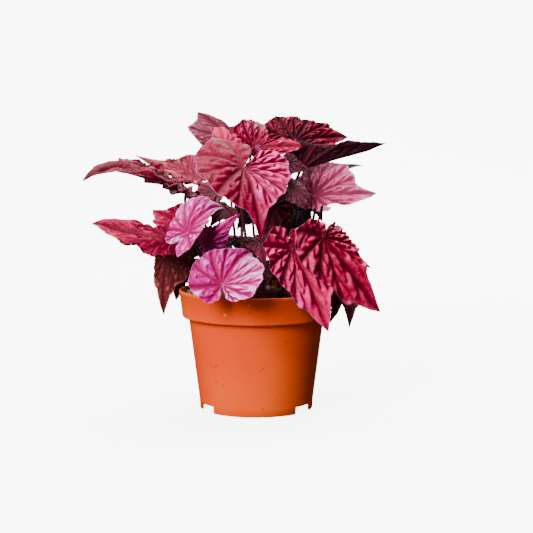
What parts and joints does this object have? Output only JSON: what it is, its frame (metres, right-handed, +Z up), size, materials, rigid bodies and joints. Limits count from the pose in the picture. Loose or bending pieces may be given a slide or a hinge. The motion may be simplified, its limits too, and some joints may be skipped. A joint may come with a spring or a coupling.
{
  "type": "potted foliage plant",
  "caption": "Begonia with large crinkled crimson, magenta and lilac leaves on stalks from a creeping rhizome, in a round orange plastic nursery pot.",
  "frame": {"origin": "middle of the pot's base, on the surface that it stands on", "axes": "+Z up, -Y towards the plant's front, +X to the right of someone who looks at the front"},
  "size_m": [0.2319, 0.2055, 0.2291],
  "materials": {
    "pot": "satin moulded polypropylene, terracotta orange",
    "soil": "loose damp potting mix",
    "stems": "fleshy hairy stalks",
    "leaf_crimson": "glossy puckered leaf, crimson",
    "leaf_pink": "glossy puckered leaf, pink",
    "leaf_lilac": "glossy puckered leaf, lilac",
    "leaf_magenta": "glossy puckered leaf, magenta",
    "leaf_maroon": "glossy puckered leaf, maroon",
    "leaf_dark": "glossy puckered leaf, dark"
  },
  "bodies": {
    "root": {"pot": "pot", "soil": "soil", "stems": "stems", "leaf_center_heart": "leaf_crimson", "leaf_top_pink": "leaf_pink", "leaf_top_left": "leaf_maroon", "leaf_top_young": "leaf_crimson", "leaf_top_rolled": "leaf_magenta", "leaf_top_right_rear": "leaf_maroon", "leaf_top_right_trough": "leaf_dark", "leaf_right_pink": "leaf_pink", "leaf_right_rear_tip": "leaf_dark", "leaf_right_mauve": "leaf_maroon", "leaf_left_long": "leaf_crimson", "leaf_left_rear": "leaf_crimson", "leaf_left_low": "leaf_crimson", "leaf_left_low_small": "leaf_pink", "leaf_left_lilac": "leaf_lilac", "leaf_left_magenta": "leaf_magenta", "leaf_front_lilac": "leaf_lilac", "leaf_front_inner": "leaf_maroon", "leaf_front_right": "leaf_crimson", "leaf_right_coral": "leaf_crimson", "leaf_right_low_tip": "leaf_maroon", "leaf_right_low_small": "leaf_dark", "leaf_right_olive_small": "leaf_dark", "leaf_left_hanging": "leaf_maroon", "leaf_left_hanging_small": "leaf_dark", "leaf_inner_low": "leaf_maroon", "leaf_inner_center": "leaf_maroon", "leaf_inner_right": "leaf_dark", "leaf_inner_left": "leaf_dark", "leaf_inner_small": "leaf_crimson", "leaf_inner_edge": "leaf_dark", "leaf_inner_left_high": "leaf_maroon", "leaf_inner_left_low": "leaf_dark", "leaf_inner_middle": "leaf_dark", "leaf_inner_right_low": "leaf_dark", "leaf_back_left_high": "leaf_crimson", "leaf_back_center_high": "leaf_maroon", "leaf_back_right_high": "leaf_pink", "leaf_back_left_mid": "leaf_maroon", "leaf_back_center_mid": "leaf_crimson", "leaf_back_right_mid": "leaf_crimson", "leaf_back_low": "leaf_dark"}
  },
  "joints": []
}
